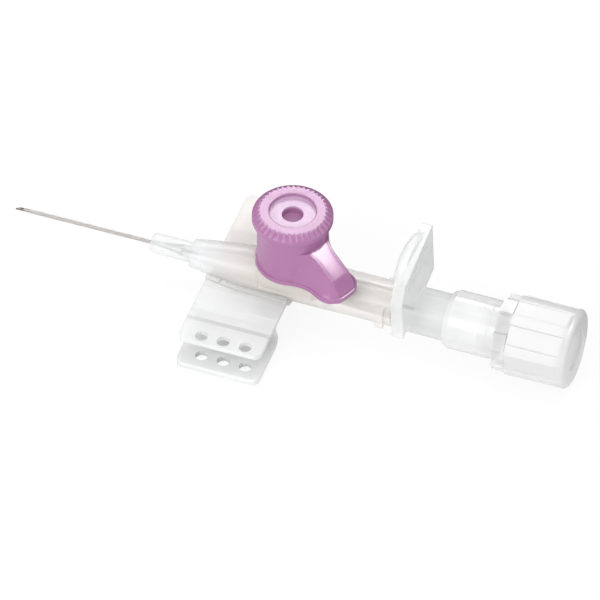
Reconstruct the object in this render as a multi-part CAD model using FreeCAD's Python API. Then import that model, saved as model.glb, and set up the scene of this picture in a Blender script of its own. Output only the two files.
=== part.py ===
"""Peripheral intravenous cannula with an injection port, folded wings and a screw-on stopper.

Lengths are millimetres. The model is laid out along the bore: X runs from the needle tip towards
the stopper, Z is up through the injection port and the bore's axis is Y = 0, Z = 0. Each exported
solid is then moved so that the origin lies on the resting plane under the middle of the cannula.
"""
import FreeCAD, Part
import math
import os

Vec = FreeCAD.Vector

# Fits between pieces
bonded_gap = 0.01        # pieces pressed or glued together
running_gap = 0.03       # needle in its catheter, taper in its socket
free_gap = 0.25          # cap over its port

# Needle
needle_diameter = 0.46
needle_bore = 0.26
bevel_length = 1.25
bevel_lancet_turn = 28.0
bevel_lancet_share = 0.55

# Catheter tube and the metal eyelet that holds it
catheter_wall = 0.08
catheter_start = 1.45
catheter_tip_length = 1.9
catheter_tip_wall = 0.02
catheter_free_length = 18.85
flare_length = 0.7
eyelet_front_gap = 1.1
eyelet_neck_length = 1.2
eyelet_wall = 0.07
eyelet_length = 3.4
eyelet_radius = 0.78

# Catheter hub
nose_radius = 1.45
nose_length = 6.1
nose_edge = 0.3
cone_front_radius = 2.0
cone_length = 7.6
hub_radius = 3.15
hub_length = 36.0
hub_throat_radius = 0.95
hub_cone_bore = 1.75
valve_pocket_radius = 2.25
valve_pocket_length = 8.0
luer_mouth_radius = 2.15
luer_slope = 0.03
lug_reach = 3.9
lug_length = 1.2
lug_height = 3.6
lug_setback = 0.85

# Injection port on the hub
port_place = 20.75       # along the hub from its front face
port_radius = 3.1
port_top = 10.9
port_drill_radius = 0.9
port_mouth_depth = 6.2
port_bead = 0.3
port_bead_height = 6.4
saddle_thickness = 0.4
saddle_radius = 5.2

# Valve sleeve
valve_wall = 0.6
valve_end_gap = 0.3

# Port cap
cap_radius = 4.95
cap_top = 13.4
cap_flange_radius = 5.25
cap_flange_height = 0.7
cap_wall = 0.95
cap_ring_radius = 5.62
cap_ring_base = 11.2
cap_ring_undercut = 0.5
cap_top_radius = 4.85
cap_dish_radius = 3.25
cap_dish_depth = 1.1
cap_well_radius = 1.58
cap_well_depth = 0.8
cap_plug_radius = 2.05
cap_plug_length = 5.4
cap_plug_lead = 0.1
knurl_count = 40
knurl_depth = 0.15
knurl_share = 0.9        # of each pitch that its groove takes up
tail_turn = -25.0
tail_reach = 10.75
tail_waist_place = 6.0
tail_shoulder_place = 8.2
tail_corner_place = 10.35
tail_base_halves = (3.7, 2.7, 2.75, 1.85)    # at root, waist, shoulder and corner
tail_crest_halves = (1.6, 1.3, 1.05, 0.85)   # the same, at the height of the root
tail_root_height = 9.7
tail_end_height = 5.8
tail_lip_end_share = 0.2  # of the lip's overhang that is left at the tail's end

# Wings
wing_front = 8.9         # along the hub from its front face
wing_length = 12.1
wing_span = 29.6
wing_drop = 1.5          # from the bore's axis to the top of the upper leaf
leaf_thickness = 0.7
lower_overhang = 0.9     # of the lower leaf past the upper one
lower_thickness = 0.9
lower_drop = 5.4
web_top_reach = 8.35
web_waist_reach = 7.45
web_corner_radius = 0.75
cradle_wall = 0.75
cradle_rim_drop = 0.95
wing_corner_radius = 1.3
hole_radius = 0.9
hole_pitch = 3.2
hole_count = 3
hole_edge = 1.5          # from the upper leaf's edge to the middle of a hole
hole_place = 3.2         # first hole, along the wing from its front edge
notch_place = 2.1
notch_width = 0.4
notch_depth = 0.35

# Needle hub
needle_nose_length = 9.5
needle_seat_length = 5.6
nose_core_radius = 1.3
hub_plate_gap = 1.55
shoulder_radius = 2.75
shoulder_lead = 0.2
plate_overlap = 0.5      # of the nose and the barrel into the plate
plate_thickness = 1.65
plate_half_width = 6.65
plate_bottom = 1.3
plate_top = 11.0
plate_turn = 5.5         # the needle hub sits this much turned in its taper
plate_cut_width = 1.6    # cut corner at the plate's near top
plate_cut_height = 2.6
plate_edge = 0.4
bead_reach = 4.8
bead_radius = 0.95
bead_arch = 0.5
bead_drop = 1.2
bead_end_proud = 0.25
groove_reach = 4.2
groove_depth = 0.7
groove_height = 0.5
groove_drop = 1.9
barrel_radius = 3.325
barrel_length = 4.4
barrel_wall = 0.75
spigot_length = 1.4

# Flash chamber
chamber_radius = 4.15
chamber_shoulder = 0.9
chamber_shoulder_rise = 0.5
chamber_length = 7.6

# Vent fitting and its filter
fitting_spigot_length = 2.4
collar_radius = 4.75
collar_length = 2.0
block_count = 6
block_reach = 5.3
block_width = 2.4
neck_radius = 3.0
neck_length = 6.2
socket_floor = 0.3       # left between the socket and the collar
filter_radius = 2.6
filter_thickness = 0.8
filter_end_gap = 0.1
vent_radius = 1.1

# Stopper
stopper_radius = 5.8
stopper_length = 8.8
stopper_wall = 1.15
stopper_end_wall = 1.8
stopper_edge_radius = 1.4
stopper_draft = 0.12
stopper_panel_count = 12
stopper_panel_depth = 0.25
stopper_panel_share = 0.7
stopper_panel_end = 0.2
stopper_dish_radius = 2.9
stopper_dish_depth = 0.45
stopper_start_gap = 0.12
stopper_pin_inset = 1.6   # from the skirt's front to the tip of the pin
stopper_pin_overlap = 0.1

# Places along the bore
hub_front = catheter_start + catheter_free_length
hub_rear = hub_front + hub_length
cone_front = hub_front + nose_length
cone_rear = cone_front + cone_length
port_x = hub_front + port_place
plate_front = hub_rear + hub_plate_gap
plate_rear = plate_front + plate_thickness
barrel_rear = plate_rear + barrel_length
chamber_rear = barrel_rear + chamber_length
collar_rear = chamber_rear + collar_length
stopper_front = collar_rear + stopper_start_gap
total_length = stopper_front + stopper_length
wing_x = hub_front + wing_front
needle_radius = needle_diameter / 2
catheter_bore = needle_radius + running_gap
catheter_radius = catheter_bore + catheter_wall
saddle_outer = hub_radius + saddle_thickness
cap_base = saddle_outer + free_gap
rest_plane = -(lower_drop + lower_thickness)
lower_span = wing_span + 2 * lower_overhang
hole_reach = wing_span / 2 - hole_edge
cavity_radius = cap_radius - cap_wall
eyelet_front = hub_front + eyelet_front_gap
eyelet_waist = eyelet_front + eyelet_neck_length
eyelet_rear = eyelet_front + eyelet_length
flare_end = eyelet_waist + flare_length


def to_frame(shape):
    """Move a solid from the bore's layout to the part's own frame."""
    moved = shape.copy()
    moved.translate(Vec(-total_length / 2, 0, -rest_plane))
    return moved


def export(name, shape):
    """Write one node after merging faces that a union has split."""
    solid = to_frame(shape.removeSplitter())
    solid.exportStep("parts/" + name + ".step")
    return solid


def turned_on_x(outline):
    """Revolve a closed outline of (place, radius) pairs about the bore."""
    points = [Vec(x, 0, r) for x, r in outline]
    face = Part.Face(Part.makePolygon(points + points[:1]))
    return face.revolve(Vec(0, 0, 0), Vec(1, 0, 0), 360)


def turned_on_z(outline, x=0.0):
    """Revolve a closed outline of (radius, height) pairs about a vertical axis at x."""
    points = [Vec(x + r, 0, z) for r, z in outline]
    face = Part.Face(Part.makePolygon(points + points[:1]))
    return face.revolve(Vec(x, 0, 0), Vec(0, 0, 1), 360)


def cylinder_x(radius, start, length):
    return Part.makeCylinder(radius, length, Vec(start, 0, 0), Vec(1, 0, 0))


def cylinder_z(radius, x, y, bottom, height):
    return Part.makeCylinder(radius, height, Vec(x, y, bottom), Vec(0, 0, 1))


def box(x, y, z):
    """Box from three (low, high) pairs."""
    return Part.makeBox(x[1] - x[0], y[1] - y[0], z[1] - z[0], Vec(x[0], y[0], z[0]))


def luer_bore(distance):
    """Radius of the female six per cent taper at a distance inside its mouth."""
    return luer_mouth_radius - luer_slope * distance


def hub_outer(x, grown=0.0):
    """Outer radius of the hub's cone and tube at a place along the bore."""
    share = min(max((x - cone_front) / cone_length, 0.0), 1.0)
    return cone_front_radius + (hub_radius - cone_front_radius) * share + grown


def hub_envelope(grown):
    """The hub's cone and tube, grown evenly, from the cone's front to the hub's rear."""
    return turned_on_x([(cone_front - 1, 0), (cone_front - 1, hub_outer(cone_front, grown)),
                        (cone_front, hub_outer(cone_front, grown)),
                        (cone_rear, hub_outer(cone_rear, grown)),
                        (hub_rear, hub_outer(hub_rear, grown)), (hub_rear, 0)])


def needle():
    """Steel tube with a bevel that faces up and two lancet cuts beside its point."""
    length = plate_rear
    tube = cylinder_x(needle_radius, 0, length).cut(cylinder_x(needle_bore / 2, -1, length + 2))
    slope = math.degrees(math.atan2(needle_diameter, bevel_length))
    cutter = box((-2, 2 * bevel_length), (-1, 1), (0, 2))
    cutter.rotate(Vec(0, 0, 0), Vec(0, 1, 0), -slope)
    cutter.translate(Vec(0, 0, -needle_radius))
    point = tube.cut(cutter)
    for side in (-1, 1):
        lancet = cutter.copy()
        lancet.translate(Vec(-bevel_length * (1 - bevel_lancet_share), 0, 0))
        lancet.rotate(Vec(0, 0, 0), Vec(1, 0, 0), side * bevel_lancet_turn)
        point = point.cut(lancet)
    return point


def funnel(x, grown=0.0):
    """Outer radius of the eyelet at a place along the bore: a neck and then a widening cone."""
    share = max(x - eyelet_waist, 0.0) / (eyelet_rear - eyelet_waist)
    return catheter_bore + eyelet_wall + (eyelet_radius - catheter_bore - eyelet_wall) * share + grown


def catheter_tube():
    """Thin soft tube: drawn down at the tip, opened over the eyelet inside the hub's nose."""
    tip_end = catheter_start + catheter_tip_length
    step = eyelet_front - catheter_wall
    inner = bonded_gap
    outer = bonded_gap + catheter_wall
    outline = [(catheter_start, catheter_bore), (catheter_start, catheter_bore + catheter_tip_wall),
               (tip_end, catheter_radius), (step, catheter_radius), (step, funnel(step, outer)),
               (eyelet_waist, funnel(eyelet_waist, outer)), (flare_end, funnel(flare_end, outer)),
               (flare_end, funnel(flare_end, inner)), (eyelet_waist, funnel(eyelet_waist, inner)),
               (eyelet_front, funnel(eyelet_front, inner)), (eyelet_front, catheter_bore)]
    return turned_on_x(outline)


def catheter_eyelet():
    """Metal funnel pushed into the opened end of the catheter tube."""
    outline = [(eyelet_front, catheter_bore), (eyelet_front, funnel(eyelet_front)),
               (eyelet_waist, funnel(eyelet_waist)), (eyelet_rear, eyelet_radius),
               (eyelet_rear, eyelet_radius - eyelet_wall), (eyelet_waist + eyelet_wall, catheter_bore)]
    return turned_on_x(outline)


def hub_bore():
    """Everything that is hollow along the hub, from the tube's hole to the rear socket."""
    tube_hole = catheter_radius + bonded_gap
    step = eyelet_front - catheter_wall - bonded_gap
    around = catheter_wall + 2 * bonded_gap
    pocket = port_x - valve_pocket_length / 2
    pocket_end = port_x + valve_pocket_length / 2
    outline = [(hub_front - 1, 0), (hub_front - 1, tube_hole), (step, tube_hole),
               (step, funnel(step, around)), (eyelet_waist, funnel(eyelet_waist, around)),
               (flare_end, funnel(flare_end, around)), (eyelet_rear, eyelet_radius + bonded_gap),
               (cone_front, hub_throat_radius), (cone_rear, hub_cone_bore),
               (pocket, hub_cone_bore), (pocket, valve_pocket_radius),
               (pocket_end, valve_pocket_radius), (pocket_end, luer_bore(hub_rear - pocket_end)),
               (hub_rear, luer_bore(0)), (hub_rear + 1, luer_bore(0)), (hub_rear + 1, 0)]
    return turned_on_x(outline)


def port_tower():
    """Short upright socket with a snap bead, standing on a saddle that hugs the hub."""
    tower = cylinder_z(port_radius, port_x, 0, 0, port_top)
    bead = turned_on_z([(port_radius - port_bead, port_bead_height - port_bead),
                        (port_radius, port_bead_height - port_bead),
                        (port_radius + port_bead, port_bead_height),
                        (port_radius, port_bead_height + port_bead),
                        (port_radius - port_bead, port_bead_height + port_bead)], port_x)
    hug = cylinder_x(saddle_outer, port_x - saddle_radius, 2 * saddle_radius)
    saddle = hug.common(cylinder_z(saddle_radius, port_x, 0, 0, saddle_outer))
    return tower.fuse([bead, saddle])


def port_bore():
    """Tapered mouth of the port and the small drilling that opens onto the valve."""
    mouth_floor = port_top - port_mouth_depth
    mouth = turned_on_z([(0, mouth_floor), (luer_bore(port_mouth_depth), mouth_floor),
                         (luer_bore(0), port_top), (luer_bore(0), port_top + 1),
                         (0, port_top + 1)], port_x)
    return mouth.fuse(cylinder_z(port_drill_radius, port_x, 0, 0, port_top))


def hub_lugs():
    """Two opposed locking lugs round the rear socket."""
    rear = hub_rear - lug_setback
    disc = cylinder_x(lug_reach, rear - lug_length, lug_length)
    band = box((rear - lug_length, rear), (-lug_reach, lug_reach), (-lug_height / 2, lug_height / 2))
    return disc.common(band)


def catheter_hub():
    """Clear moulded hub: slim nose, cone, tube, locking lugs and the injection port."""
    body = turned_on_x([(hub_front, 0), (hub_front, nose_radius - nose_edge),
                        (hub_front + nose_edge, nose_radius), (cone_front, nose_radius),
                        (cone_front, cone_front_radius), (cone_rear, hub_radius),
                        (hub_rear, hub_radius), (hub_rear, 0)])
    whole = body.fuse([hub_lugs(), port_tower()])
    return whole.cut(hub_bore()).cut(port_bore())


def valve_sleeve():
    """Soft tube inside the hub that closes the port from within."""
    length = valve_pocket_length - 2 * valve_end_gap
    start = port_x - length / 2
    outer = valve_pocket_radius - running_gap
    return cylinder_x(outer, start, length).cut(cylinder_x(outer - valve_wall, start - 1, length + 2))


def tail_plan(halves, grown, height):
    """Closed plan of the tail at a height, from its half widths at root, waist, shoulder and corner."""
    root_half, waist_half, shoulder_half, corner_half = [half + grown for half in halves]
    flank = [Vec(math.sqrt((cap_radius + grown) ** 2 - root_half ** 2), root_half, height),
             Vec(tail_waist_place, waist_half, height), Vec(tail_shoulder_place, shoulder_half, height),
             Vec(tail_corner_place, corner_half, height)]
    mirrored = [Vec(p.x, -p.y, height) for p in reversed(flank)]
    edges = []
    for points in (flank, mirrored):
        curve = Part.BSplineCurve()
        curve.interpolate(points)
        edges.append(curve.toShape())
    nib = Vec(tail_reach + grown * tail_lip_end_share, 0, height)
    end = Part.Arc(flank[-1], nib, mirrored[0]).toShape()
    root = Part.makePolygon([mirrored[-1], Vec(0, 0, height), flank[0]])
    return Part.Wire([edges[0], end, edges[1]] + root.Edges)


def tail_blank():
    """Block between the tongue at the base and the narrow strip where the tail leaves the body."""
    base = tail_plan(tail_base_halves, 0, cap_base)
    crest = tail_plan(tail_crest_halves, 0, tail_root_height)
    return Part.makeLoft([base, crest], True, True)


def tail_lip(flange_top):
    """The cap's base flange carried on round the tail."""
    plan = tail_plan(tail_base_halves, cap_flange_radius - cap_radius, cap_base)
    return Part.Face(plan).extrude(Vec(0, 0, flange_top - cap_base))


def tail_side():
    """Side outline of the tail as a wide slab: one long slope from the body down to the end."""
    wide = 2 * cap_radius
    fall = (tail_root_height - tail_end_height) / (tail_reach - cap_radius)
    low = tail_end_height - fall
    outline = [(0, cap_base), (0, tail_root_height), (cap_radius, tail_root_height),
               (tail_reach + 1, low), (tail_reach + 1, cap_base)]
    points = [Vec(reach, -wide, height) for reach, height in outline]
    return Part.Face(Part.makePolygon(points + points[:1])).extrude(Vec(0, 2 * wide, 0))


def knurl_cutter():
    """One vee groove down the bevel between the cap's rim and its top face."""
    low = cap_top - (cap_ring_radius - cap_top_radius)
    down_bevel = Vec(cap_ring_radius - cap_top_radius, 0, low - cap_top)
    half = math.pi * cap_ring_radius / knurl_count * knurl_share
    crest = Vec(cap_top_radius, 0, cap_top) - down_bevel
    out = Vec(knurl_depth, 0, knurl_depth)
    points = [crest - out, crest + out + Vec(0, 2 * half, 0), crest + out - Vec(0, 2 * half, 0)]
    face = Part.Face(Part.makePolygon(points + points[:1]))
    return face.extrude(down_bevel * 2)


def port_cap():
    """Coloured snap cap: knurled ring, dished top with a well, hollow skirt, plug and thumb tail."""
    floor = cap_top - cap_dish_depth
    flange_top = cap_base + cap_flange_height
    bevel_foot = cap_top - (cap_ring_radius - cap_top_radius)
    body = turned_on_z([(0, cap_base), (cap_flange_radius, cap_base), (cap_flange_radius, flange_top),
                        (cap_radius, flange_top), (cap_radius, cap_ring_base),
                        (cap_ring_radius, cap_ring_base + cap_ring_undercut),
                        (cap_ring_radius, bevel_foot), (cap_top_radius, cap_top), (0, cap_top)])
    grooves = []
    for index in range(knurl_count):
        groove = knurl_cutter()
        groove.rotate(Vec(0, 0, 0), Vec(0, 0, 1), 360.0 * index / knurl_count)
        grooves.append(groove)
    body = body.cut(Part.makeCompound(grooves))
    body = body.fuse([tail_blank().common(tail_side()), tail_lip(flange_top)])
    dish = cylinder_z(cap_dish_radius, 0, 0, floor, cap_dish_depth + 1)
    well = cylinder_z(cap_well_radius, 0, 0, floor - cap_well_depth, cap_well_depth + 1)
    roof = port_top + free_gap
    cavity = cylinder_z(cavity_radius, 0, 0, cap_base - 1, roof - cap_base + 1)
    plug_tip = roof - cap_plug_length
    tip_radius = cap_plug_radius - luer_slope * cap_plug_length - cap_plug_lead
    plug = turned_on_z([(0, plug_tip), (tip_radius, plug_tip), (cap_plug_radius, roof), (0, roof)])
    cap = body.cut(cavity).fuse(plug).cut(dish).cut(well)
    cap.rotate(Vec(0, 0, 0), Vec(0, 0, 1), tail_turn)
    cap.translate(Vec(port_x, 0, 0))
    return cap


def leaf(inner, outer, top, thickness):
    """Flat leaf from an inner to an outer reach, with a round outer edge."""
    low = top - thickness
    nose = outer - thickness / 2
    corners = [Vec(wing_x, nose, top), Vec(wing_x, inner, top), Vec(wing_x, inner, low),
               Vec(wing_x, nose, low)]
    edge = Part.Arc(corners[3], Vec(wing_x, outer, (top + low) / 2), corners[0]).toShape()
    outline = Part.Wire(Part.makePolygon(corners).Edges + [edge])
    return Part.Face(outline).extrude(Vec(wing_length, 0, 0))


def web():
    """Waisted wall that joins the leaves, rounded into each of them."""
    half = leaf_thickness / 2
    upper = -wing_drop - half
    lower = -lower_drop - lower_thickness / 2
    corner = web_corner_radius
    sag = corner * (1 - math.sqrt(0.5))
    start = Vec(wing_x, web_top_reach - half - corner, upper)
    bend = Vec(wing_x, web_top_reach - half - sag, upper - sag)
    shoulder = Vec(wing_x, web_top_reach - half, upper - corner)
    foot = Vec(wing_x, web_waist_reach - half, lower + corner)
    heel = Vec(wing_x, foot.y + sag, lower + sag)
    toe = Vec(wing_x, foot.y + corner, lower)
    path = [Part.Arc(start, bend, shoulder).toShape(), Part.makeLine(shoulder, foot),
            Part.Arc(foot, heel, toe).toShape()]
    outline = Part.Wire(path).makeOffset2D(half, join=0, fill=False, openResult=False)
    return Part.Face(outline).extrude(Vec(wing_length, 0, 0))


def wing_side():
    """Upper leaf, waisted web and lower leaf of one wing, as one folded strip."""
    upper = leaf(hub_radius - wing_drop / 2, wing_span / 2, -wing_drop, leaf_thickness)
    lower = leaf(web_waist_reach, lower_span / 2, -lower_drop, lower_thickness)
    return upper.fuse([web(), lower])


def wing_plan():
    """Upright block whose rounded corners trim both leaves."""
    half = max(wing_span, lower_span) / 2
    block = box((wing_x, wing_x + wing_length), (-half - 1, half + 1), (rest_plane - 1, 0))
    lower = Part.makeBox(wing_length, lower_span, lower_thickness + 2,
                         Vec(wing_x, -lower_span / 2, rest_plane - 1))
    upper = Part.makeBox(wing_length, wing_span, wing_drop + leaf_thickness + 2,
                         Vec(wing_x, -wing_span / 2, -wing_drop - leaf_thickness - 1.5))
    rounded = []
    for plate in (lower, upper):
        upright = [e for e in plate.Edges if e.BoundBox.ZLength > 1]
        rounded.append(plate.makeFillet(wing_corner_radius, upright))
    middle = box((wing_x, wing_x + wing_length), (-hole_reach + 2, hole_reach - 2), (rest_plane - 1, 0))
    return block.common(rounded[0].fuse([rounded[1], middle]))


def wings():
    """Folded pair of wings on a cradle that holds the hub from below, with rows of holes."""
    side = wing_side()
    other = side.mirror(Vec(0, 0, 0), Vec(0, 1, 0))
    end = wing_x + wing_length
    cradle = turned_on_x([(wing_x, 0), (wing_x, hub_outer(wing_x, cradle_wall)),
                          (cone_rear, hub_outer(cone_rear, cradle_wall)),
                          (end, hub_outer(end, cradle_wall)), (end, 0)])
    reach = hub_radius + cradle_wall + 1
    cradle = cradle.cut(box((wing_x - 1, end + 1), (-reach, reach), (-cradle_rim_drop, reach)))
    low = wing_x + notch_place
    notch = box((low, low + notch_width), (-reach, reach), (-cradle_rim_drop - notch_depth, 0))
    cradle = cradle.cut(notch)
    whole = side.fuse([other, cradle]).common(wing_plan())
    whole = whole.cut(hub_envelope(bonded_gap))
    holes = []
    for index in range(hole_count):
        for y in (-hole_reach, hole_reach):
            x = wing_x + hole_place + hole_pitch * index
            holes.append(cylinder_z(hole_radius, x, y, rest_plane - 1, -rest_plane + 1))
    return whole.cut(Part.makeCompound(holes))


def plate_bead():
    """Round bead along the plate's top edge, proud of its front and sunk into it at both ends."""
    sunk = plate_front + bead_radius - bead_end_proud
    far = Vec(sunk, bead_reach, plate_top - bead_radius)
    middle = Vec(plate_front, 0, plate_top - bead_radius + bead_arch)
    near = Vec(sunk, -bead_reach, plate_top - bead_radius - bead_drop)
    spine = Part.Wire([Part.Arc(far, middle, near).toShape()])
    curve = spine.Edges[0]
    ring = Part.Wire([Part.makeCircle(bead_radius, far, curve.tangentAt(curve.FirstParameter))])
    return spine.makePipeShell([ring], True, False)


def grip_plate():
    """Upright thumb plate with one cut corner, a bead in front and a finger groove behind."""
    w = plate_half_width
    points = [Vec(plate_front, y, z) for y, z in (
        (-w, plate_bottom), (-w, plate_top - plate_cut_height), (-w + plate_cut_width, plate_top),
        (w, plate_top), (w, plate_bottom))]
    plate = Part.Face(Part.makePolygon(points + points[:1])).extrude(Vec(plate_thickness, 0, 0))
    along = [e for e in plate.Edges if e.BoundBox.XLength > 0.5 * plate_thickness]
    plate = plate.makeFillet(plate_edge, along)
    groove_top = plate_top - groove_drop
    groove = box((plate_rear - groove_depth, plate_rear + 1), (-groove_reach, groove_reach),
                 (groove_top - groove_height, groove_top))
    plate = plate.fuse(plate_bead()).cut(groove)
    plate.rotate(Vec(0, 0, 0), Vec(1, 0, 0), plate_turn)
    return plate


def needle_hub():
    """Moulded carrier of the needle: tapered nose, thumb plate and the barrel behind it."""
    nose_start = hub_rear - needle_nose_length
    seat_start = plate_front - needle_seat_length
    male = luer_bore(0) - running_gap
    nose_tip = luer_bore(needle_nose_length) - running_gap
    inside = plate_front + plate_overlap
    nose = turned_on_x([(nose_start, 0), (nose_start, nose_tip), (hub_rear, male),
                        (hub_rear + shoulder_lead, shoulder_radius), (inside, shoulder_radius),
                        (inside, 0)])
    barrel = cylinder_x(barrel_radius, inside, barrel_rear + spigot_length - inside)
    whole = nose.fuse([barrel, grip_plate()])
    front_core = cylinder_x(nose_core_radius, nose_start - 1, seat_start - nose_start + 1)
    rear_core = cylinder_x(barrel_radius - barrel_wall, plate_rear, barrel_length + spigot_length + 1)
    needle_hole = cylinder_x(needle_radius + bonded_gap, nose_start - 1, plate_rear - nose_start + 2)
    return whole.cut(front_core).cut(rear_core).cut(needle_hole)


def flash_chamber():
    """Clear cylinder behind the barrel, with a bevelled shoulder at its front."""
    bore = barrel_radius + bonded_gap
    front = barrel_rear
    shoulder = chamber_radius - chamber_shoulder_rise
    outline = [(front, bore), (front, shoulder), (front + chamber_shoulder, chamber_radius),
               (chamber_rear, chamber_radius), (chamber_rear, bore)]
    return turned_on_x(outline)


def vent_fitting():
    """Plug in the chamber's rear: spigot, collar with blocks and a threaded socket neck."""
    front = chamber_rear - fitting_spigot_length
    neck_end = collar_rear + neck_length
    start = chamber_rear + bonded_gap
    outline = [(front, 0), (front, barrel_radius), (start, barrel_radius), (start, collar_radius),
               (collar_rear, collar_radius), (collar_rear, neck_radius), (neck_end, neck_radius),
               (neck_end, 0)]
    whole = turned_on_x(outline)
    blocks = []
    for index in range(block_count):
        block = box((start, collar_rear), (-block_width / 2, block_width / 2), (neck_radius, block_reach))
        block.rotate(Vec(0, 0, 0), Vec(1, 0, 0), 360.0 * index / block_count)
        blocks.append(block)
    disc = cylinder_x(lug_reach, neck_end - lug_length, lug_length)
    lugs = disc.common(box((neck_end - lug_length, neck_end), (-lug_reach, lug_reach),
                           (-lug_height / 2, lug_height / 2)))
    seat_depth = filter_thickness + 2 * filter_end_gap
    seat = cylinder_x(filter_radius + bonded_gap, front - 1, seat_depth + 1)
    socket_depth = neck_length - socket_floor
    socket = turned_on_x([(neck_end - socket_depth, 0), (neck_end - socket_depth, luer_bore(socket_depth)),
                          (neck_end, luer_bore(0)), (neck_end + 1, luer_bore(0)), (neck_end + 1, 0)])
    channel = cylinder_x(vent_radius, front, neck_end - front)
    return whole.fuse(blocks + [lugs]).cut(seat).cut(socket).cut(channel)


def vent_filter():
    """Porous disc that lets air out of the flash chamber and keeps blood in."""
    return cylinder_x(filter_radius, chamber_rear - fitting_spigot_length + filter_end_gap, filter_thickness)


def stopper_panels(blank_radius):
    """Shallow flat panels round the stopper, cut along it and drafted with it."""
    cutters = []
    turn = 360.0 / stopper_panel_count
    half = blank_radius * math.sin(math.radians(turn / 2)) * stopper_panel_share
    for index in range(stopper_panel_count):
        depth = blank_radius * math.cos(math.asin(half / blank_radius)) - stopper_panel_depth
        cutter = box((stopper_front - 1, total_length - stopper_edge_radius - stopper_panel_end),
                     (-half, half), (depth, blank_radius + 1))
        cutter.rotate(Vec(0, 0, 0), Vec(1, 0, 0), turn * index)
        cutters.append(cutter)
    return Part.makeCompound(cutters)


def stopper():
    """White closing cap: ribbed skirt, rounded end and a tapered pin that seals the socket."""
    rear = total_length
    blank = turned_on_x([(stopper_front, 0), (stopper_front, stopper_radius),
                         (rear, stopper_radius - stopper_draft), (rear, 0)])
    blank = blank.makeFillet(stopper_edge_radius, [e for e in blank.Edges if e.BoundBox.XMin > rear - 0.01])
    blank = blank.cut(stopper_panels(stopper_radius))
    cavity_end = rear - stopper_end_wall
    cavity = cylinder_x(stopper_radius - stopper_wall, stopper_front - 1, cavity_end - stopper_front + 1)
    pin_start = stopper_front + stopper_pin_inset
    pin_root = cavity_end + stopper_pin_overlap
    neck_end = collar_rear + neck_length
    pin = turned_on_x([(pin_start, 0), (pin_start, luer_bore(neck_end - pin_start) - 2 * running_gap),
                       (cavity_end, luer_bore(0) - 2 * running_gap),
                       (pin_root, luer_bore(0) - 2 * running_gap), (pin_root, 0)])
    dish = cylinder_x(stopper_dish_radius, rear - stopper_dish_depth, 1)
    return blank.cut(cavity).fuse(pin).cut(dish)


os.makedirs("parts", exist_ok=True)
pieces = {
    "needle": needle, "catheter_tube": catheter_tube, "catheter_eyelet": catheter_eyelet,
    "catheter_hub": catheter_hub, "valve_sleeve": valve_sleeve, "port_cap": port_cap, "wings": wings,
    "needle_hub": needle_hub, "flash_chamber": flash_chamber, "vent_fitting": vent_fitting,
    "vent_filter": vent_filter, "stopper": stopper,
}
for name, make in pieces.items():
    solid = export(name, make())
    bounds = solid.BoundBox
    print(name, "solids", len(solid.Solids), "valid", solid.isValid(), "volume", round(solid.Volume, 3),
          "x", round(bounds.XMin, 2), round(bounds.XMax, 2), "y", round(bounds.YMin, 2),
          round(bounds.YMax, 2), "z", round(bounds.ZMin, 2), round(bounds.ZMax, 2))
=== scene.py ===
# %% [markdown]
# # Intravenous cannula
#
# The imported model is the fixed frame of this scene. Its solids hold the sizes, and this file gives
# them soft edges, clear plastics and steel. Everything is in metres, with +X along the bore from the
# needle tip to the stopper and +Z up through the injection port.

# %% Load the frame
import math

import bmesh
import bpy
import numpy as np
from mathutils import Matrix, Vector


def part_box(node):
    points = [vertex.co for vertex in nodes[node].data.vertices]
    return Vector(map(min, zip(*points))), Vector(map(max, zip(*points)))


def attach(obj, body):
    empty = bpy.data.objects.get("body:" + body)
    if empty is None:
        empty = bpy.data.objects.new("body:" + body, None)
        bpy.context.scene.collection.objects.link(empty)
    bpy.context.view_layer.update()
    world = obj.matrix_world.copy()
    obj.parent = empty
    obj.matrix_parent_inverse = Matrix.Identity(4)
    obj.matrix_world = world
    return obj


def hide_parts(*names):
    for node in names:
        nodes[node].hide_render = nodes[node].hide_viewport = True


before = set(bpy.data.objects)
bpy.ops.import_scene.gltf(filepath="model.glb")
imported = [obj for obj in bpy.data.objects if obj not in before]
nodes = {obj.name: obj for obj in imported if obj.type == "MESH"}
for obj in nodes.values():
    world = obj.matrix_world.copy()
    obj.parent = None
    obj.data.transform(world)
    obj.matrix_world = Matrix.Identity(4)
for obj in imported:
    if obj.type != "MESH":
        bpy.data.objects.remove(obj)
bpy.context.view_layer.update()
print("nodes", sorted(nodes))

# %% [markdown]
# ## Places along the bore
#
# Moulded parts like these are drawn from one datum, the needle tip, so that each diameter and each
# shoulder has a plain place in millimetres along the axis. The same datum is used here: it is read
# from the needle and the catheter tube, and `to_frame` turns such places into the frame's metres.

# %% Datum and millimetres
MM = 0.001
needle_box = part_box("needle")
tube_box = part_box("catheter_tube")
datum = np.array([needle_box[0].x, 0.0, (tube_box[0].z + tube_box[1].z) / 2])


def to_frame(points):
    """Frame metres = datum + millimetres / 1000, for an array whose last axis is x, y, z."""
    return datum + np.asarray(points, float) * MM


def frame_x(place):
    """The frame's X in metres of a place along the bore, given in millimetres from the needle tip."""
    return float(to_frame((place, 0, 0))[0])


def along(node):
    """First and last place of a CAD node along the bore, in millimetres from the needle tip."""
    low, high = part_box(node)
    return (low.x - datum[0]) / MM, (high.x - datum[0]) / MM


hub_start, hub_end = along("catheter_hub")
wing_start = along("wings")[0]
total_length = along("stopper")[1]
print("hub", round(hub_start, 2), round(hub_end, 2), "total", round(total_length, 2))

# %% [markdown]
# ## Camera
#
# The photograph is taken from above and a little from the tip's side, with a long lens, so that
# parallel edges stay parallel. A long lens far away gives that look. The camera stands on the line
# of sight through the picture's middle, and its frame is as wide as the picture shows.

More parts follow.
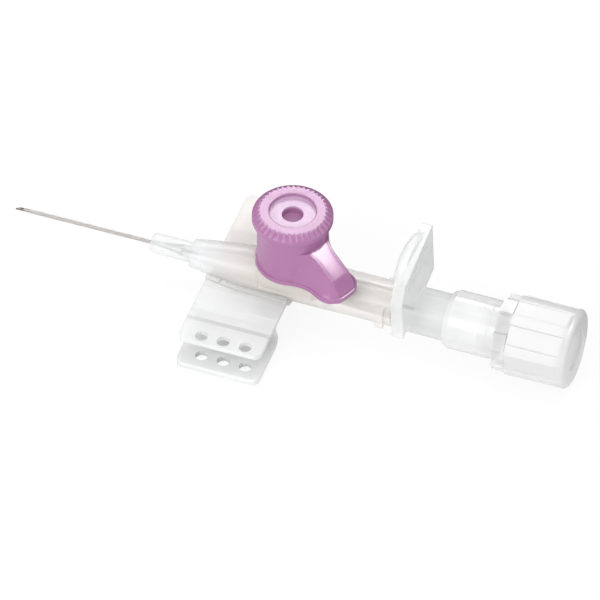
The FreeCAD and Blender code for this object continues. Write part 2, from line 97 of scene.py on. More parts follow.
# %% Camera at the photograph's angle
view_azimuth = 19.4
view_elevation = 46.3
picture_width = 83.33          # millimetres across the frame at the bore
picture_middle = (42.12, 0.0, -4.06)
lens = 500.0
sensor = 36.0


def aim_camera():
    """Axes of a camera turned by azimuth about Z and raised by elevation; distance = width * lens / sensor."""
    turn, rise = math.radians(view_azimuth), math.radians(view_elevation)
    right = Vector((math.cos(turn), math.sin(turn), 0))
    back = Vector((math.sin(turn) * math.cos(rise), -math.cos(turn) * math.cos(rise), math.sin(rise)))
    up = back.cross(right)
    data = bpy.data.cameras.new("camera")
    data.lens = lens
    data.sensor_width = sensor
    data.clip_end = 100
    camera = bpy.data.objects.new("camera", data)
    bpy.context.scene.collection.objects.link(camera)
    distance = picture_width * MM * lens / sensor
    place = Vector(to_frame(picture_middle)) + back * distance
    camera.matrix_world = Matrix.Translation(place) @ Matrix((right, up, back)).transposed().to_4x4()
    bpy.context.scene.camera = camera
    return camera


camera = aim_camera()
print("camera at", [round(v, 3) for v in camera.matrix_world.translation])

# %% [markdown]
# ## Surfaces from arrays
#
# Turned and moulded parts are surfaces of two parameters: a profile, and an angle round the axis. The
# profile's corners are rounded first, because a moulding's edges catch the light, and then the whole
# grid of points is worked out at once. Quads join each point to its neighbours.

# %% Mesh from a grid of points
soft_angle = 32.0              # degrees; faces that meet at less than this are shaded as one


def grid_faces(rows, columns):
    """Quads between neighbouring rows, each of which is a closed loop of points."""
    row = np.arange(rows - 1)[:, None]
    column = np.arange(columns)[None, :]
    next_row, next_column = row + 1, (column + 1) % columns
    corners = [row * columns + column, row * columns + next_column,
               next_row * columns + next_column, next_row * columns + column]
    return np.stack(corners, axis=-1).reshape(-1, 4)


def build_mesh(name, points, faces, smooth_angle=soft_angle):
    """Object whose mesh holds the points (frame metres) and faces, merged, with outward normals."""
    mesh = bpy.data.meshes.new(name)
    mesh.from_pydata(np.asarray(points).reshape(-1, 3).tolist(), [], np.asarray(faces).tolist())
    tidy_mesh(mesh, smooth_angle)
    piece = bpy.data.objects.new(name, mesh)
    bpy.context.scene.collection.objects.link(piece)
    return piece


def tidy_mesh(mesh, smooth_angle):
    """Merge doubled points, turn faces outwards and shade smoothly below an edge angle."""
    work = bmesh.new()
    work.from_mesh(mesh)
    bmesh.ops.remove_doubles(work, verts=work.verts, dist=1e-7)
    bmesh.ops.recalc_face_normals(work, faces=work.faces)
    work.to_mesh(mesh)
    work.free()
    mesh.shade_smooth()
    mesh.set_sharp_from_angle(angle=math.radians(smooth_angle))


# %% Rounded profiles and turned pieces
nearly_half = 0.49             # of a side, so that two arcs on one side never meet


def rounded(corners, steps=6):
    """Open profile of (a, b, radius) corners; all but its two ends become arcs that touch both sides.

    With half the angle between the sides, an arc starts radius / tan(half) before the corner and ends
    as far after it, or nearly halfway along the shorter side where that is less.
    """
    corners = [tuple(c) + (0.0,) * (3 - len(c)) for c in corners]
    count = len(corners)
    points = []
    for index, (a, b, radius) in enumerate(corners):
        here = np.array((a, b))
        if radius <= 0 or index in (0, count - 1):
            points.append(here)
            continue
        before = np.array(corners[index - 1][:2]) - here
        after = np.array(corners[index + 1][:2]) - here
        reach_before, reach_after = np.linalg.norm(before), np.linalg.norm(after)
        before, after = before / reach_before, after / reach_after
        half = math.acos(np.clip(before @ after, -1, 1)) / 2
        set_back = min(radius / math.tan(half), nearly_half * reach_before, nearly_half * reach_after)
        true_radius = set_back * math.tan(half)
        bisector = (before + after) / np.linalg.norm(before + after)
        centre = here + bisector * true_radius / math.sin(half)
        first, last = here + before * set_back - centre, here + after * set_back - centre
        sweep = math.pi - 2 * half
        share = np.linspace(0, 1, steps + 1)[:, None]
        arc = (np.sin((1 - share) * sweep) * first + np.sin(share * sweep) * last) / math.sin(sweep)
        points.extend(centre + arc)
    return np.array(points)


def divided(profile, step):
    """The same profile with points added, so that no run is longer than a step in millimetres."""
    pieces = [profile[:1]]
    for start, end in zip(profile[:-1], profile[1:]):
        count = max(int(math.ceil(np.linalg.norm(end - start) / step)), 1)
        share = np.arange(1, count + 1)[:, None] / count
        pieces.append(start + share * (end - start))
    return np.concatenate(pieces)


def turned(name, profile, segments, shape, axis="x", place=0.0):
    """Surface of revolution: point = (along, r cos t, r sin t), with r changed by shape(along, r, t).

    On axis z the point is (place + r cos t, r sin t, along).
    """
    turn = np.linspace(0, 2 * math.pi, segments, endpoint=False)[None, :]
    length = np.repeat(profile[:, 0][:, None], segments, axis=1)
    radius = np.repeat(profile[:, 1][:, None], segments, axis=1)
    turn = np.repeat(turn, len(profile), axis=0)
    length, radius = shape(length, radius, turn)
    if axis == "x":
        points = np.stack([length, radius * np.cos(turn), radius * np.sin(turn)], axis=-1)
    else:
        points = np.stack([place + radius * np.cos(turn), radius * np.sin(turn), length], axis=-1)
    return build_mesh(name, to_frame(points), grid_faces(len(profile), segments))

# %% [markdown]
# ## Shader expressions
#
# A finish is easier to read as arithmetic than as a list of nodes. `Term` wraps one socket of a
# material and gives it the plain operators, and `Finish.add` makes any other node from its type and
# the values or links of its sockets. `Finish.places` gives the three coordinates of a surface point, and
# `rise` and `fall` turn a coordinate into a mask between 0 and 1.

# %% A small language for finishes
sharp = 20000.0                # slope, per metre, of a mask that changes over 0.05 mm


class Term:
    """A number inside a material; arithmetic on it adds Math nodes."""

    def __init__(self, finish, socket):
        self.finish = finish
        self.socket = socket

    def math(self, operation, *terms):
        node = self.finish.tree.nodes.new("ShaderNodeMath")
        node.operation = operation
        for slot, term in zip(node.inputs, terms):
            self.finish.feed(slot, term)
        return Term(self.finish, node.outputs[0])

    def __add__(self, other):
        return self.math("ADD", self, other)

    def __sub__(self, other):
        return self.math("SUBTRACT", self, other)

    def __mul__(self, other):
        return self.math("MULTIPLY", self, other)

    def __rsub__(self, other):
        return self.math("SUBTRACT", other, self)

    def clip(self):
        return self.math("MINIMUM", self.math("MAXIMUM", self, 0.0), 1.0)

    def rise(self, start, slope):
        """Mask = slope * (self - start), kept between 0 and 1."""
        return ((self - start) * slope).clip()

    def fall(self, start, slope):
        """Mask = 1 - slope * (self - start), kept between 0 and 1."""
        return (1 - (self - start) * slope).clip()

    def size(self):
        return self.math("ABSOLUTE", self)

    def root(self):
        return self.math("SQRT", self)

    def wave(self):
        return self.math("SINE", self)


class Finish:
    """One material: its shader's fixed values, and the nodes that vary it over a surface."""

    def __init__(self, name, **fixed):
        self.material = bpy.data.materials.new(name)
        self.material.use_nodes = True
        self.tree = self.material.node_tree
        self.shader = self.tree.nodes["Principled BSDF"]
        for socket, value in fixed.items():
            self.shader.inputs[socket.replace("_", " ")].default_value = value

    def feed(self, slot, value):
        """Link a term to a socket, or set the socket's own value."""
        if isinstance(value, Term):
            self.tree.links.new(value.socket, slot)
        else:
            slot.default_value = value

    def add(self, kind, sockets=None, output=0):
        """Node of a type, with its sockets fed; returns one of its outputs."""
        node = self.tree.nodes.new(kind)
        for name, value in (sockets or {}).items():
            self.feed(node.inputs[name], value)
        return Term(self, node.outputs[output])

    def places(self):
        """X, Y and Z of a surface point in the frame's metres, before any joint moves it."""
        split = self.tree.nodes.new("ShaderNodeSeparateXYZ")
        self.feed(split.inputs["Vector"], self.add("ShaderNodeTexCoord", output="Object"))
        return [Term(self, split.outputs[axis]) for axis in "XYZ"]

    def noise(self, scale, detail, squash=(1.0, 1.0, 1.0)):
        """Noise between 0 and 1 on object coordinates; scale counts features in a metre."""
        place = self.add("ShaderNodeTexCoord", output="Object")
        placed = self.add("ShaderNodeMapping", {"Vector": place, "Scale": squash})
        return self.add("ShaderNodeTexNoise", {"Vector": placed, "Scale": scale, "Detail": detail})

    def bump(self, height, strength):
        """Feed a height in metres to the shader's normal."""
        normal = self.add("ShaderNodeBump", {"Height": height, "Distance": 1.0, "Strength": strength}, "Normal")
        self.feed(self.shader.inputs["Normal"], normal)

    def vary(self, socket, value):
        self.feed(self.shader.inputs[socket], value)

    def tint(self, mask, low, high):
        """Base colour that goes from low to high with a mask."""
        mix = self.tree.nodes.new("ShaderNodeMix")
        mix.data_type = "RGBA"
        self.feed(mix.inputs["Factor"], mask)
        mix.inputs[6].default_value = low
        mix.inputs[7].default_value = high
        self.tree.links.new(mix.outputs[2], self.shader.inputs["Base Color"])

# %% [markdown]
# ## Finishes
#
# The object is almost all plastic: clear, frosted and milky parts, a glossy purple cap, and only the
# needle and its eyelet of steel. Real clear plastic bends light. Here a wall only lets a share of it
# straight through, because bent light left bright specks in the hub. Each plastic keeps a faint
# unevenness in gloss and relief, which is what tells a moulded surface from a perfect one.

# %% Clear, frosted and milky plastics
unevenness = 0.06              # change of roughness over the full range of the noise


def plastic(name, colour, roughness, cover=1.0, index=1.49, grain=900.0, relief=0.000003):
    """Moulded plastic: roughness = base + unevenness * (noise - 0.5), with shallow relief.

    cover is the share of light that each of a wall's two faces stops; the rest passes straight through.
    """
    finish = Finish(name, Base_Color=colour, IOR=index, Alpha=cover)
    blotch = finish.noise(grain, 2.0)
    finish.vary("Roughness", (blotch - 0.5) * unevenness + roughness)
    finish.relief = finish.noise(grain * 0.35, 1.0) * relief
    finish.bump(finish.relief, 0.5)
    return finish


clear_plastic = plastic("clear_plastic", (0.84, 0.84, 0.845, 1), 0.10, cover=0.52)
fitting_plastic = plastic("fitting_plastic", (0.80, 0.80, 0.805, 1), 0.16, cover=0.50)
hub_plastic = plastic("hub_plastic", (0.84, 0.83, 0.82, 1), 0.24, cover=0.50)
frosted_plastic = plastic("frosted_plastic", (0.74, 0.755, 0.75, 1), 0.34, cover=0.55)
white_plastic = plastic("white_plastic", (0.71, 0.71, 0.715, 1), 0.36, cover=0.82)
tube_plastic = plastic("tube_plastic", (0.80, 0.79, 0.78, 1), 0.16, cover=0.20, index=1.36, relief=0.0)
print("clear, frosted and milky plastics made")

# %% [markdown]
# ## Rings on the flash chamber
#
# Two faint rings run round the chamber near its rear end. They are too shallow to need geometry, so they
# are grooves in the relief of its finish, at a distance from the chamber's end.

# %% Two faint rings
chamber_end = frame_x(along("flash_chamber")[1])
chamber_x = clear_plastic.places()[0]
ring_slope = 6600.0            # a ring fades out over 0.15 mm on both sides
ring_depth = 0.00004


def groove(before_end):
    """1 at a place so many metres before the chamber's end, falling to 0 on both sides."""
    return (chamber_x - (chamber_end - before_end)).size().fall(0.0, ring_slope)


clear_plastic.bump(clear_plastic.relief - (groove(0.0011) + groove(0.0024)) * ring_depth, 0.8)
print("chamber ends at", round(chamber_end, 5))

# %% [markdown]
# ## Wings
#
# The leaves are folded from one moulded strip. A thicker ledge runs along the hub, and a fine crease a little
# further out lets the leaf bend. Both are only tenths of a millimetre high, so they are drawn as relief that
# depends on the distance from the bore, and the solid keeps its plain shape. In the photograph the near wing
# darkens towards its rear edge and on its lower leaf, where the cap and the upper leaf shade it. Its cover is
# raised there to match, so less white ground shows through: that is painted shade. Its cover is raised there by
# eye to match; the cause isn't known. In the cradle along the hub the cover is lowered, which is painted light
# over the shade between wing and hub. The far wing is set paler and warmer.

# %% Wing plastic with ledge and crease
wing_plastic = Finish("wing_plastic", Base_Color=(0.74, 0.745, 0.74, 1), Alpha=0.58, Specular_IOR_Level=0.3)
wing_x, wing_y, wing_z = wing_plastic.places()
away = wing_y.size()           # distance from the middle plane
leaf_floor = float(datum[2]) - 2.4 * MM
cradle_reach, ledge_reach, crease_reach = 0.0040, 0.0070, 0.0100
ledge_height, crease_depth = 0.00014, 0.00030
on_leaf = wing_z.rise(leaf_floor, sharp)
ledge = away.fall(ledge_reach, 2500.0)
crease = away.rise(ledge_reach, 333.0) * away.fall(crease_reach, 1400.0)
far = wing_y.rise(-0.006, 120.0)
wing_relief = (ledge * ledge_height - crease * crease_depth) * on_leaf * (1 - far * 0.75)
wing_plastic.tint(far, (0.75, 0.76, 0.76, 1), (0.80, 0.765, 0.745, 1))
# The cover carries painted shade on the near wing's rear part and lower leaf, and painted light in the cradle along
# the hub.
painted_low_leaf_shade = ((leaf_floor - wing_z) * 3000.0).clip()
painted_rear_shade = wing_x.rise(frame_x(wing_start), 80.0) * (1 - far)
painted_cradle_light = away.fall(cradle_reach, 2000.0)
wing_plastic.vary("Alpha", painted_low_leaf_shade * 0.12 + 0.56 + painted_rear_shade * 0.24 - painted_cradle_light * 0.08)
wing_plastic.vary("Roughness", wing_plastic.noise(700.0, 2.0) * 0.08 + 0.42)
wing_plastic.bump(wing_relief + wing_plastic.noise(260.0, 2.0) * 0.00003, 0.8)
print("leaves split at", round(leaf_floor, 5))

# %% [markdown]
# ## Purple plastic
#
# Very fine rings on the cap's round faces widen the highlight across them, so that it fans out as on a
# brushed disc. A mould turned on a lathe leaves such rings. They are drawn as a sine of the
# distance from the port's axis, and they are kept to the faces on top. In the photograph the dish's
# floor is nearly as bright as the rim. The lamps here don't give that, and the reason wasn't found, so a
# paler colour on the rim and the floor stands in for the missing light.

# %% Purple plastic with turning marks
port_x = along("port_cap")[0] + 5.62
port_centre = to_frame((port_x, 0.0, 0.0))
purple_plastic = Finish("purple_plastic")
cap_x, cap_y, cap_z = purple_plastic.places()
east = cap_x - float(port_centre[0])
north = cap_y - float(port_centre[1])
from_axis = (east * east + north * north).root()
top_from = float(port_centre[2]) + 12.3 * MM         # faces above this count as the top
dish_to = top_from + 0.0006    # between the dish's floor and the rim
well_reach, dish_reach, rim_reach = 0.0017, 0.0033, 0.0048
on_top = cap_z.rise(top_from, sharp)
rings = (from_axis * 26000.0).wave() * on_top
in_dish = on_top * cap_z.fall(dish_to, sharp) * from_axis.fall(dish_reach, sharp)
on_rim = on_top * from_axis.fall(rim_reach, sharp)
purple_plastic.tint(on_rim * 0.25 + in_dish * 0.75, (0.335, 0.140, 0.292, 1), (0.47, 0.315, 0.455, 1))
grain = purple_plastic.noise(1200.0, 2.0)
in_well = (1 - on_top) * from_axis.fall(well_reach, sharp)
purple_plastic.vary("Roughness", (grain - 0.5) * 0.04 + 0.25 + on_top * 0.05 + in_well * 0.35)
purple_plastic.bump(rings * 0.0000022 + purple_plastic.noise(420.0, 1.0) * 0.000001, 0.8)
print("port axis at", round(port_x, 2), "mm")

# %% [markdown]
# ## Hub, steel and the hidden parts
#
# The hub is clearest at its thin nose, where the eyelet and the needle show through, and it takes on a
# warmer tone towards the port, where the sleeve lies inside. The steel is drawn lengthwise, so its
# unevenness is long and narrow. Its colour is darker than real steel's, because the photograph's needle
# mirrors dark surroundings that this white scene lacks. The eyelet is the same metal on the real part;
# it is set lighter here, or it would show as a dark funnel inside the nose.

# %% Clear nose, and a warmer tone towards the port
nose_end, warm_from, tube_from = 6.0, 8.0, 26.0     # millimetres behind the hub's front
hub_x = hub_plastic.places()[0]
toward_port = hub_x.rise(frame_x(hub_start + warm_from), 130.0)
hub_plastic.tint(toward_port, (0.78, 0.795, 0.80, 1), (0.80, 0.76, 0.72, 1))
past_nose = hub_x.rise(frame_x(hub_start + nose_end), 600.0)
on_tube = hub_x.rise(frame_x(hub_start + tube_from), 800.0)
hub_plastic.vary("Alpha", past_nose * 0.19 + 0.33 - on_tube * 0.14)
print("hub finish changes", nose_end, warm_from, "and", tube_from, "mm behind its front")

# %% Steel, silicone and filter
steel = Finish("steel", Base_Color=(0.20, 0.17, 0.155, 1), Metallic=1.0)
drawn = steel.noise(1500.0, 2.0, squash=(0.05, 1.0, 1.0))
steel.vary("Roughness", drawn * 0.06 + 0.16)
bright_steel = Finish("bright_steel", Base_Color=(0.66, 0.65, 0.64, 1), Metallic=1.0, Roughness=0.25)
silicone = plastic("silicone", (0.86, 0.80, 0.68, 1), 0.45, cover=0.9)
filter_media = plastic("filter_media", (0.88, 0.88, 0.86, 1), 0.8, grain=4000.0, relief=0.00002)
print("steel, silicone and filter made")

# %% Dress the nodes
finish_of = {
    "needle": steel, "catheter_eyelet": bright_steel, "catheter_tube": tube_plastic,
    "catheter_hub": hub_plastic, "valve_sleeve": silicone, "port_cap": purple_plastic,
    "wings": wing_plastic, "needle_hub": frosted_plastic, "flash_chamber": clear_plastic,
    "vent_fitting": fitting_plastic, "vent_filter": filter_media, "stopper": white_plastic,
}


def dress(piece, finish):
    piece.data.materials.clear()
    piece.data.materials.append(finish.material)


for name, finish in finish_of.items():
    dress(nodes[name], finish)
print(len(finish_of), "nodes dressed")

# %% [markdown]
# ## Soft edges on the moulded solids
#
# No moulded edge is truly sharp, and on clear plastic the small radius is what shows as a bright line.
# The solids that keep their shape are copied, their triangles are joined into the flat faces they came
# from, and a narrow bevel is put on every edge. Building them anew would only repeat their sizes.

# %% Copies with bevelled edges
flat_angle = 1.5               # degrees; faces that meet at less than this were one flat face


def softened(node, name, body, finish, width):
    """Copy of a node: points merged, flat faces joined, and sharp edges bevelled by a width in mm."""
    mesh = nodes[node].data.copy()
    mesh.name = name
    work = bmesh.new()
    work.from_mesh(mesh)
    bmesh.ops.remove_doubles(work, verts=work.verts, dist=1e-6)
    bmesh.ops.dissolve_limit(work, angle_limit=math.radians(flat_angle), verts=work.verts,
                             edges=work.edges)
    work.to_mesh(mesh)
    work.free()
    mesh.shade_smooth()
    mesh.set_sharp_from_angle(angle=math.radians(soft_angle))
    piece = bpy.data.objects.new(name, mesh)
    bpy.context.scene.collection.objects.link(piece)
    bevel = piece.modifiers.new("edges", "BEVEL")
    bevel.width = width * MM
    bevel.segments = 2
    bevel.limit_method = "ANGLE"
    bevel.angle_limit = math.radians(soft_angle)
    bevel.harden_normals = True
    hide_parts(node)
    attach(piece, body)
    dress(piece, finish)
    print(name, len(mesh.polygons), "faces")


softened("catheter_hub", "moulded_catheter_hub", "cannula", hub_plastic, 0.1)
softened("flash_chamber", "moulded_flash_chamber", "needle_unit", clear_plastic, 0.15)
softened("wings", "moulded_wings", "cannula", wing_plastic, 0.12)
softened("needle_hub", "moulded_needle_hub", "needle_unit", frosted_plastic, 0.1)
softened("vent_fitting", "moulded_vent_fitting", "needle_unit", fitting_plastic, 0.1)

# %% [markdown]
# ## Port cap
#
# The purple cap closes the injection port. On the real object it is one moulding: a ring with forty
# small scallops for the fingers, a dished top with a well, a plain skirt, and a tail for the thumb. It
# could be modelled with boolean cuts, but a profile turned about the port keeps every edge soft, and
# the scallops are then only a change of radius with the angle.

# %% Turned body of the cap
cap_segments = 480
scallops = 40
scallop_depth = 0.34
bevel_low, bevel_high = 12.63, 13.4
flange_base, flange_top = 3.8, 4.5
# (height over the bore, radius, rounding) in millimetres: well, dish, rim, ring, wall, flange, inside
cap_profile = rounded([(11.5, 0.0), (11.5, 1.42, 0.15), (12.65, 1.5, 0.05), (12.65, 3.22, 0.08), (13.4, 3.25, 0.12),
                       (13.4, 4.85, 0.16), (12.63, 5.62, 0.14), (11.85, 5.62, 0.1), (11.3, 4.95, 0.12),
                       (flange_top, 4.95, 0.15), (flange_top, 5.25, 0.1), (flange_base, 5.25, 0.1),
                       (flange_base, 4.0, 0.1), (11.15, 4.0, 0.2), (11.15, 2.05, 0.15),
                       (5.75, 1.82, 0.2), (5.75, 0.0)])


def scalloped(height, radius, turn):
    """Radius less depth * (1 - (2 p - 1)^2), where p is the place in a scallop, only round the ring's bevel."""
    place = (turn * scallops / (2 * math.pi)) % 1.0
    valley = 1 - (2 * place - 1) ** 2
    up = np.clip((height - bevel_low - 0.32) / (bevel_high - bevel_low - 0.42), 0, 1)
    outside = np.clip((radius - 4.5) / 0.25, 0, 1)
    return height, radius - scallop_depth * valley * up * outside


cap_body = turned("cap_body", cap_profile, cap_segments, scalloped, axis="z", place=port_x)
print("cap body", len(cap_body.data.vertices), "points")

# %% [markdown]
# ## The cap's tail
#
# The tail slopes from just under the ring down to a thin end that the thumb pushes. Its outline in
# plan narrows, swells into a shoulder and closes in a blunt tip, while the strip on its top stays
# equally wide. The strip falls gently to a crease and more steeply behind it, down to the blunt end. A
# lip runs along the tail's foot and fades out towards the tip. Two outlines are therefore blended: the
# wide one at the base and the narrow one on top. Each row of the grid is one loop round the tail, at a
# share of the way between the two.

# %% Outlines of the tail
tail_turn = math.radians(-25.0)
tail_root = 4.5                # radius inside the cap's wall at which the tail starts
strip_top, strip_crease, strip_low = (4.95, 9.65), (9.25, 6.8), (10.5, 4.95)
strip_crown = 0.1              # how far the strip bulges over the straight line to the crease
root_reach = 2.6               # where both outlines begin, inside the cap's wall
closing_reach = 9.3            # a row drawn in to the middle line goes no further out
lip, lip_end, lip_fade = 0.3, 10.7, 1.2
base_places = [2.6, 3.3, 4.4, 6.0, 7.2, 8.3, 9.5, 10.3]
base_halves = [3.95, 3.7, 3.12, 2.74, 2.78, 2.84, 2.5, 1.85]


def smooth_curve(places, values, at):
    """Cubic between knots, with the slope at each knot the weighted mean of the slopes beside it."""
    places, values, at = np.asarray(places, float), np.asarray(values, float), np.asarray(at, float)
    slope = np.gradient(values, places)
    low = np.clip(np.searchsorted(places, at) - 1, 0, len(places) - 2)
    step = places[low + 1] - places[low]
    t = (at - places[low]) / step
    rise, fall = t * t * (3 - 2 * t), 1 - t * t * (3 - 2 * t)
    return (values[low] * fall + values[low + 1] * rise
            + step * (slope[low] * t * (1 - t) ** 2 - slope[low + 1] * t * t * (1 - t)))


def tail_outline(places, halves, corner, tip, blunt, flank_steps=48, end_steps=24, root_steps=9):
    """Closed loop of near flank, end, far flank and root: end = corner + (tip - corner) * cos^blunt."""
    reach = np.linspace(root_reach, corner, flank_steps, endpoint=False)
    half = smooth_curve(places, halves, reach)
    angle = np.linspace(-math.pi / 2, math.pi / 2, end_steps)
    end_half = smooth_curve(places, halves, [corner])[0]
    end_reach = corner + (tip - corner) * np.abs(np.cos(angle)) ** blunt
    root = np.linspace(1, -1, root_steps + 2)[1:-1]
    reach_loop = np.concatenate([reach, end_reach, reach[::-1], np.full(root_steps, root_reach)])
    half_loop = np.concatenate([-half, end_half * np.sin(angle), half[::-1], root * half[0]])
    return np.stack([reach_loop, half_loop], axis=-1)


base_loop = tail_outline(base_places, base_halves, corner=10.3, tip=10.72, blunt=0.9)
strip_places = [2.6, 3.6, 4.4, 5.0, 5.8, 6.8, 8.5, 10.1]
strip_halves = [3.9, 3.3, 2.6, 2.05, 1.7, 1.58, 1.58, 1.58]
strip_loop = tail_outline(strip_places, strip_halves, corner=10.1, tip=10.52, blunt=0.55)
print("tail outline", len(base_loop), "points a loop")


# %% Tail from loops
def outward(loop):
    """Unit normals of a closed loop in plan: its smoothed tangent turned by a right angle."""
    tangent = np.roll(loop, -1, axis=0) - np.roll(loop, 1, axis=0)
    normal = np.stack([tangent[:, 1], -tangent[:, 0]], axis=-1)
    return normal / np.maximum(np.linalg.norm(normal, axis=1, keepdims=True), 1e-9)


def tail_row(share, offset, height, spread=1.0, drop=0.0):
    """Loop = base + share * (strip - base) + offset * normal, with its width multiplied by spread.

    A height from 0 to 1 is a share of the way from the flange to the strip less drop; a greater one is
    in millimetres. Spread 0 draws the row in to the middle line, which closes the surface.
    """
    plan = base_loop + share * (strip_loop - base_loop)
    if share == 0:
        offset = offset * np.clip((lip_end - plan[:, :1]) / lip_fade, 0, 1)
    plan = plan + offset * outward(plan)
    across = plan[:, 1] * spread
    reach = plan[:, 0] if spread > 0 else np.minimum(plan[:, 0], closing_reach)
    reach = np.maximum(reach, np.sqrt(np.maximum(tail_root ** 2 - across ** 2, 0)))
    out = reach if share == 1 else strip_loop[:, 0]
    down = np.clip((out - strip_top[0]) / (strip_crease[0] - strip_top[0]), 0, 1)
    past = np.maximum(out - strip_crease[0], 0) / (strip_low[0] - strip_crease[0])
    top = (strip_top[1] - (strip_top[1] - strip_crease[1]) * down + 4 * strip_crown * down * (1 - down)
           - (strip_crease[1] - strip_low[1]) * past)
    level = (height * (top - drop - flange_top) + flange_top if 0 <= height <= 1
             else np.full(len(plan), height))
    return np.stack([reach, across, level], axis=-1)


soft, less_soft = 0.12, 0.035  # the lip's two edges are rounded over three rows each
flank_hollow = 0.16
tail_rows = [tail_row(0, 0, flange_base, 0.0), tail_row(0, lip - soft, flange_base),
             tail_row(0, lip - less_soft, flange_base + less_soft), tail_row(0, lip, flange_base + soft),
             tail_row(0, lip, flange_top - soft), tail_row(0, lip - less_soft, flange_top - less_soft),
             tail_row(0, lip - soft, flange_top), tail_row(0, 0.06, flange_top), tail_row(0.015, 0, 0.015)]
tail_rows += [tail_row(share, -flank_hollow * math.sin(math.pi * min(share * 1.1, 1.0)) ** 0.7, share)
              for share in np.linspace(0.05, 0.86, 12)]
# The flank turns into the strip over the next rows, and the last row closes the strip.
tail_rows += [tail_row(0.9, 0.0, 0.88), tail_row(0.93, 0.03, 0.91), tail_row(0.97, 0.03, 0.965),
              tail_row(0.995, 0.0, 0.99), tail_row(1.0, -0.06, 1.0), tail_row(1.0, -0.14, 1.0, drop=-0.02),
              tail_row(1.0, -0.3, 1.0, drop=0.02), tail_row(1.0, -0.6, 1.0, drop=0.05),
              tail_row(1.0, 0.0, 1.0, 0.0, drop=0.06)]
tail_grid = np.array(tail_rows)
cosine, sine = math.cos(tail_turn), math.sin(tail_turn)
tail_points = np.stack([port_x + tail_grid[..., 0] * cosine - tail_grid[..., 1] * sine,
                        tail_grid[..., 0] * sine + tail_grid[..., 1] * cosine, tail_grid[..., 2]], axis=-1)
cap_tail = build_mesh("cap_tail", to_frame(tail_points), grid_faces(len(tail_grid), len(base_loop)),
                      smooth_angle=38.0)
print("cap tail", len(cap_tail.data.vertices), "points")

# %% [markdown]
# ## One cap
#
# Body and tail are one moulding, so they become one piece. The tail's root runs into the cap's wall,
# where it doesn't show. Weighted normals keep large faces flat right up to their rounded edges.

# %% Body and tail joined
def joined(name, pieces):
    """One object from several: their meshes are read into one mesh, and the single objects are removed."""
    work = bmesh.new()
    for piece in pieces:
        work.from_mesh(piece.data)
    mesh = bpy.data.meshes.new(name)
    work.to_mesh(mesh)
    work.free()
    for piece in pieces:
        bpy.data.objects.remove(piece)
    whole = bpy.data.objects.new(name, mesh)
    bpy.context.scene.collection.objects.link(whole)
    return whole


def even_normals(piece):
    """Normal at a point = mean of its faces' normals, weighted by the faces' areas; sharp edges stay."""
    weighted = piece.modifiers.new("weighted", "WEIGHTED_NORMAL")
    weighted.keep_sharp = True


cap = joined("purple_port_cap", [cap_body, cap_tail])
even_normals(cap)
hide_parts("port_cap")
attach(cap, "cap")
dress(cap, purple_plastic)
print("cap", len(cap.data.vertices), "points")

# %% [markdown]
# ## Stopper
#
# The stopper is a white cap that screws over the vent's neck. Eight flat panels run along its skirt, with a raised
# rib between each two, so that wet gloves can turn it. Around the axis the panels are a change of radius: a flat
# face is a constant distance from the axis divided by the cosine of the angle from its middle. The ribs look paler
# in the photograph, so their colour is set paler to match: a painted highlight on their raised faces. The ribs
# look paler in the photograph, so their colour is set paler by eye; no cause for it is known.

# %% Ribbed stopper
stopper_start, stopper_end = along("stopper")
stopper_x, sideways, stopper_z = white_plastic.places()
upwards = stopper_z - float(datum[2])
from_bore = (sideways * sideways + upwards * upwards).root()
rib_reach = 0.00555            # the panels' floors lie nearer to the bore than this
before_round = frame_x(stopper_end - 1.1) - stopper_x
# Painted highlight: the ribs' colour is paler than the panels'.
rib_highlight = from_bore.rise(rib_reach, 8000.0) * (before_round * 1200.0).clip()
white_plastic.tint(rib_highlight, (0.69, 0.69, 0.695, 1), (0.745, 0.745, 0.745, 1))
panels = 8
panel_half = math.radians(15.0)
panel_edge = math.radians(0.9)
panel_depth, panel_fade = 0.32, 0.5
skirt_radius = 5.8
panel_floor = skirt_radius * math.cos(panel_half) - panel_depth
panel_end = stopper_end - 1.15
neck_end = stopper_end - 1.8
# (place along the bore, radius, rounding) in millimetres: rear recess, round end, skirt, mouth, inside
skirt = rounded([(stopper_end - 0.45, 0.0), (stopper_end - 0.45, 2.9, 0.15), (stopper_end, 2.9, 0.2),
                 (stopper_end, 5.68, 1.4), (stopper_end - 1.7, 5.7), (stopper_start + 4.0, 5.75),
                 (stopper_start + 0.4, skirt_radius), (stopper_start, skirt_radius, 0.15),
                 (stopper_start, 4.65, 0.15), (neck_end, 4.65, 0.2), (neck_end, 2.09, 0.1),
                 (stopper_start + 1.6, 1.98, 0.15), (stopper_start + 1.6, 0.0)], steps=8)


def ribbed(length, radius, turn):
    """Radius on a panel: its floor / cos(angle from its middle), faded out at the rounded rear end."""
    pitch = 2 * math.pi / panels
    off = np.abs((turn + pitch / 2) % pitch - pitch / 2)
    flat = panel_floor / np.cos(np.minimum(off, panel_half))
    on_panel = np.clip((panel_half - off) / panel_edge, 0, 1)
    on_skirt = (radius > 5.0) * np.clip((panel_end - length) / panel_fade + 1, 0, 1)
    return length, radius + np.minimum(flat - radius, 0) * on_panel * on_skirt


stopper = turned("white_stopper", divided(skirt, 0.7), 360, ribbed)
even_normals(stopper)
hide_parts("stopper")
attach(stopper, "stopper")
dress(stopper, white_plastic)
print("stopper", len(stopper.data.vertices), "points")

# %% [markdown]
# ## Floor
#
# The photograph shows the cannula on pure white with only a faint shadow. A white floor that the camera
# sees as mostly plain white, but that still takes a soft shadow, gives that ground; the same white
# shows through the clear plastics.

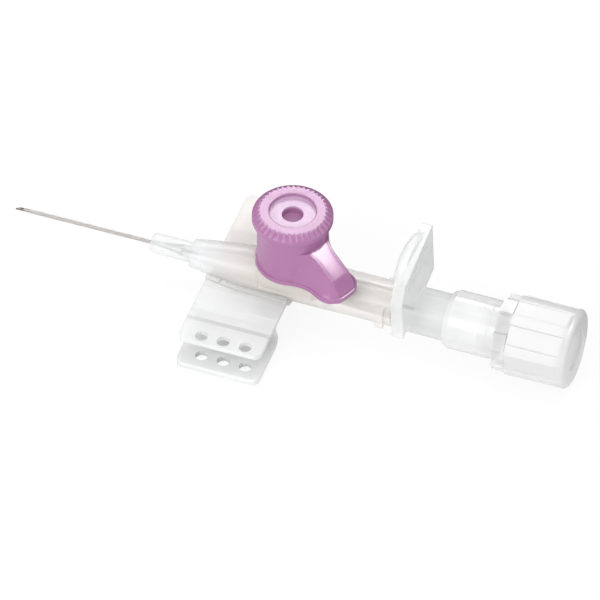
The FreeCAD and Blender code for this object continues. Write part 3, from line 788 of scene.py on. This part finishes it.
# %% White floor
def white_ground(name, shadow_share):
    """Floor: seen directly, or through clear plastic, it is mostly plain white."""
    ground = bpy.data.materials.new(name)
    ground.use_nodes = True
    tree = ground.node_tree
    tree.nodes.clear()
    out = tree.nodes.new("ShaderNodeOutputMaterial")
    matte = tree.nodes.new("ShaderNodeBsdfDiffuse")
    matte.inputs["Color"].default_value = (0.88, 0.88, 0.88, 1)
    plain = tree.nodes.new("ShaderNodeEmission")
    plain.inputs["Strength"].default_value = 1.0
    path = tree.nodes.new("ShaderNodeLightPath")
    share = tree.nodes.new("ShaderNodeMath")
    share.operation = "MULTIPLY"
    tree.links.new(path.outputs["Is Camera Ray"], share.inputs[0])
    share.inputs[1].default_value = 1.0 - shadow_share
    mix = tree.nodes.new("ShaderNodeMixShader")
    tree.links.new(share.outputs[0], mix.inputs[0])
    tree.links.new(matte.outputs[0], mix.inputs[1])
    tree.links.new(plain.outputs[0], mix.inputs[2])
    tree.links.new(mix.outputs[0], out.inputs[0])
    return ground


floor_reach = 1.5
floor_level = -0.0002          # just under the wings
floor_mesh = bpy.data.meshes.new("floor")
corner = [(x * floor_reach, y * floor_reach, floor_level) for x, y in ((-1, -1), (1, -1), (1, 1), (-1, 1))]
floor_mesh.from_pydata(corner, [], [(0, 1, 2, 3)])
floor = bpy.data.objects.new("floor", floor_mesh)
bpy.context.scene.collection.objects.link(floor)
floor.data.materials.append(white_ground("ground", 0.12))
print("floor", 2 * floor_reach, "m wide")

# %% [markdown]
# ## Lamps and surroundings
#
# The photograph's highlights are broad and its shadows faint; how it was lit isn't known. Three broad
# lamps and a white world give such light. Two smaller lamps show in reflections only: they give the
# highlights on the cap's top and tail and add no other light.

# %% Lamps and surroundings
world = bpy.data.worlds.new("surroundings")
bpy.context.scene.world = world
world.use_nodes = True
world.node_tree.nodes["Background"].inputs["Color"].default_value = (1, 1, 1, 1)
world.node_tree.nodes["Background"].inputs["Strength"].default_value = 0.70


def lamp(name, place, size, power):
    """Square soft lamp at a place in metres, turned towards the cannula's middle."""
    data = bpy.data.lights.new(name, "AREA")
    data.energy = power
    data.size = size
    thing = bpy.data.objects.new(name, data)
    bpy.context.scene.collection.objects.link(thing)
    thing.location = place
    thing.rotation_euler = (Vector((0, 0, 0)) - Vector(place)).to_track_quat("-Z", "Y").to_euler()
    return thing


# name, place and edge length in metres, power in watts
lamp("front", (-0.20, -0.52, 0.38), 0.45, 2.6)
lamp("above", (0.05, 0.05, 0.75), 0.50, 1.7)
lamp("side", (0.55, -0.20, 0.30), 0.40, 0.6)
for name, place, size, power in (("top_glint", (-0.16, 0.45, 0.50), 0.22, 1.8),
                                 ("tail_glint", (0.35, 0.21, 0.55), 0.24, 4.4)):
    glint = lamp(name, place, size, power)
    glint.visible_diffuse = False
    glint.visible_transmission = False
print("three lamps and two glints")

# %% [markdown]
# ## Dark cards for the reflections
#
# In white surroundings alone, glossy plastic shows no darker edges. Photographers use black cards for
# that. Here an upright one stands behind the cannula and a flat one lies beyond it, and both are seen in
# reflections only.

# %% Two dark cards
card_mesh = bpy.data.meshes.new("card")
card_corners = [(-0.9, 0.55, 0.0), (0.9, 0.55, 0.0), (0.9, 0.55, 0.24), (-0.9, 0.55, 0.24),
                (-0.15, 0.008, 0.0004), (0.15, 0.008, 0.0004), (0.15, 0.20, 0.0004), (-0.15, 0.20, 0.0004)]
card_mesh.from_pydata(card_corners, [], [(0, 1, 2, 3), (4, 5, 6, 7)])
card = bpy.data.objects.new("card", card_mesh)
bpy.context.scene.collection.objects.link(card)
card_black = Finish("card_black", Base_Color=(0.05, 0.05, 0.05, 1), Roughness=1.0)
dress(card, card_black)
for kind in ("visible_camera", "visible_diffuse", "visible_transmission", "visible_shadow"):
    setattr(card, kind, False)
bpy.context.scene.view_settings.view_transform = "Standard"
print("cards", len(card_mesh.polygons))
